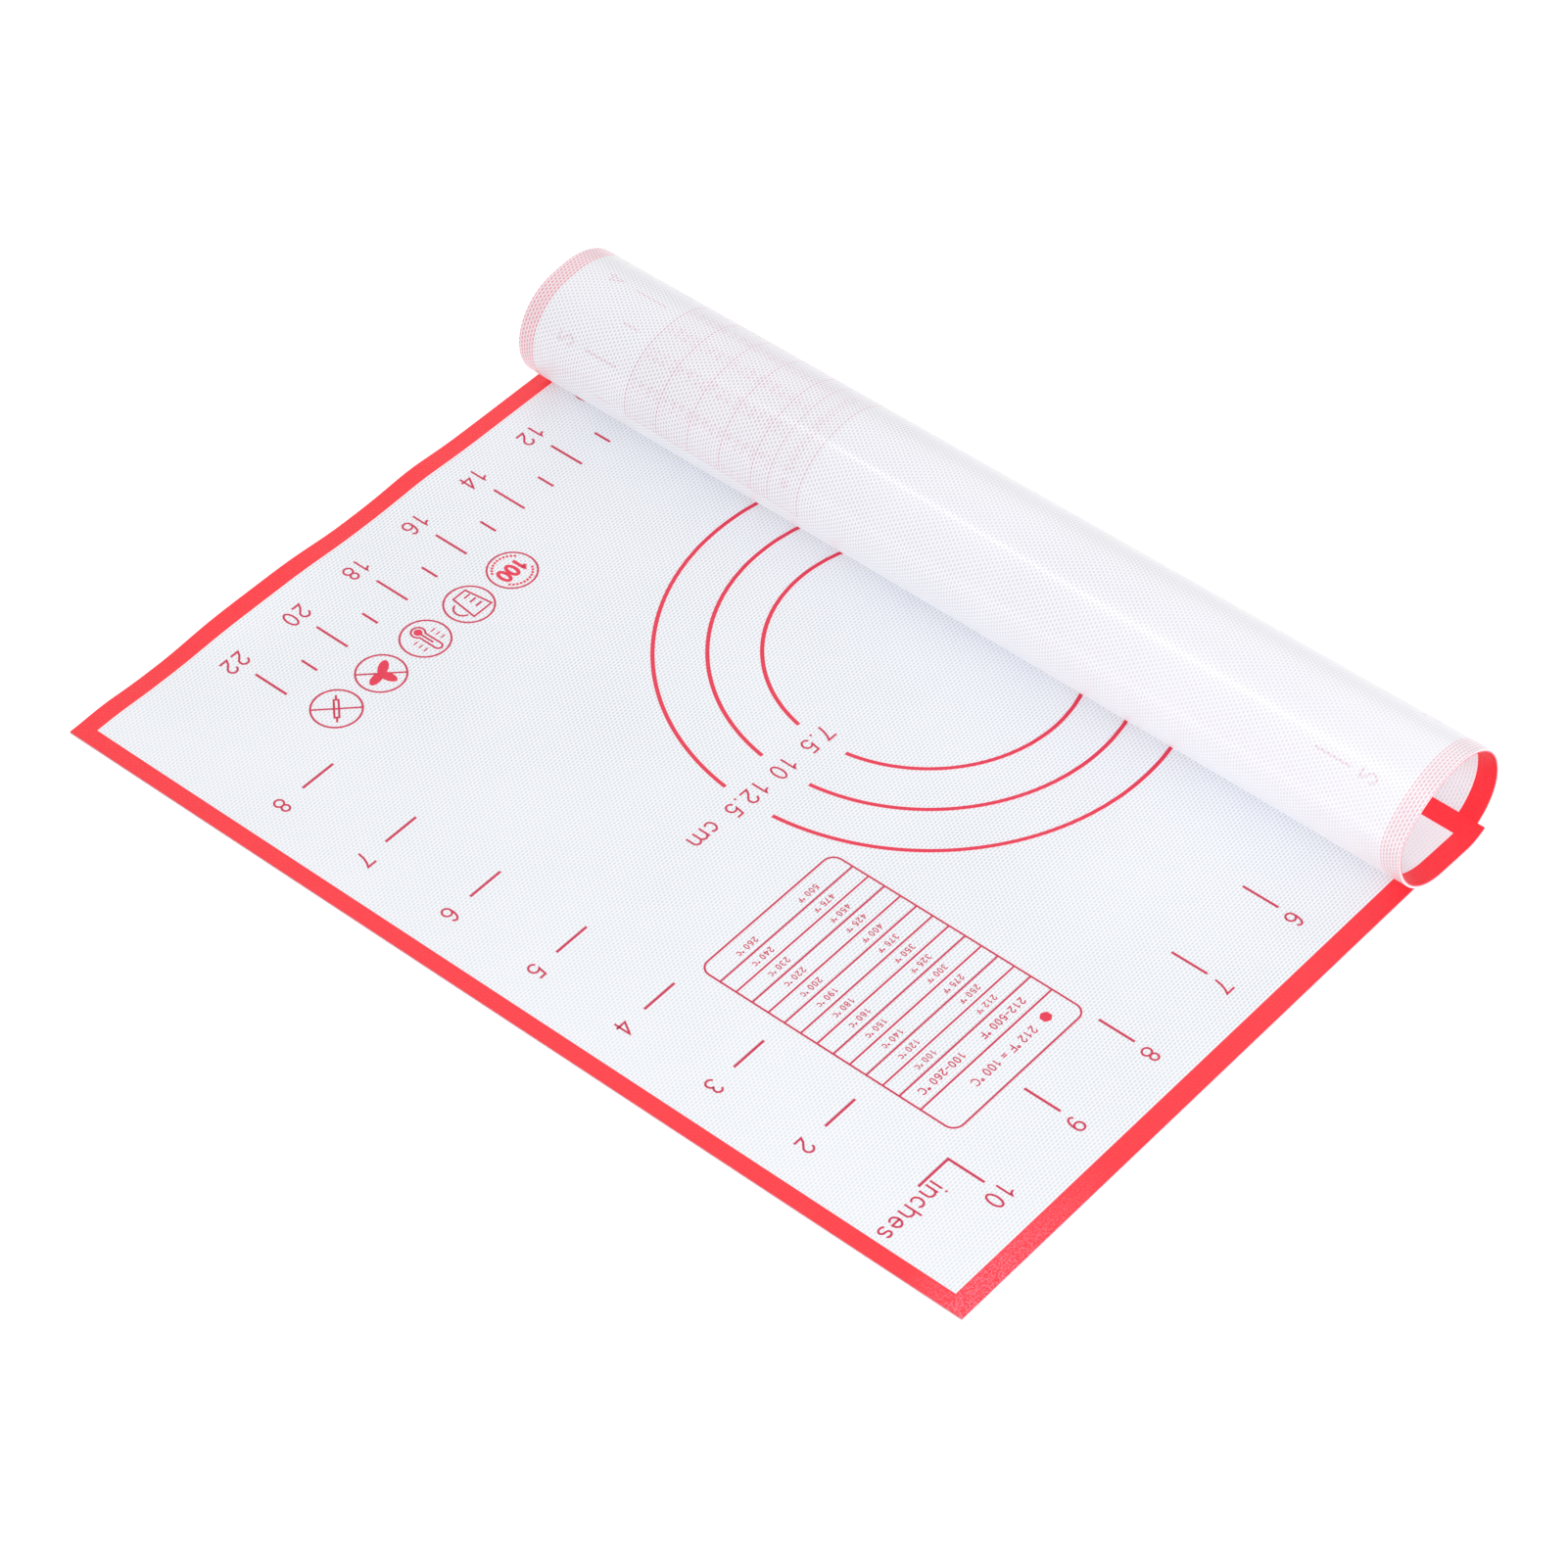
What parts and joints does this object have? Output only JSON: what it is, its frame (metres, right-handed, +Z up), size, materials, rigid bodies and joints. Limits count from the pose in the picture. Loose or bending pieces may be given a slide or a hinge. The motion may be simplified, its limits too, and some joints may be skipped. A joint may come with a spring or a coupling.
{
  "type": "silicone baking mat",
  "caption": "Printed silicone baking mat with rulers and ring guides, lying flat with its far end rolled back over itself.",
  "frame": {"origin": "under the middle of the object, on the surface it lies on", "axes": "+X along the front edge, +Y from the front edge towards the roll, +Z up"},
  "size_m": [0.259, 0.1854, 0.032],
  "materials": {
    "silicone_coat": "satin translucent white silicone",
    "glass_mesh": "woven glass fibre",
    "border_ink": "satin red silicone ink",
    "marking_ink": "satin red silicone ink"
  },
  "bodies": {
    "root": {"bottom_silicone": "silicone_coat", "glass_fibre_mesh": "glass_mesh", "top_silicone": "silicone_coat", "border_print": "border_ink", "corner_mark": "marking_ink", "side_inch_ruler": "marking_ink", "front_inch_ruler": "marking_ink", "centimetre_ruler": "marking_ink", "small_ring_guide": "marking_ink", "middle_ring_guide": "marking_ink", "large_ring_guide": "marking_ink", "temperature_table": "marking_ink", "second_table": "marking_ink", "badge_rings": "marking_ink"}
  },
  "joints": []
}
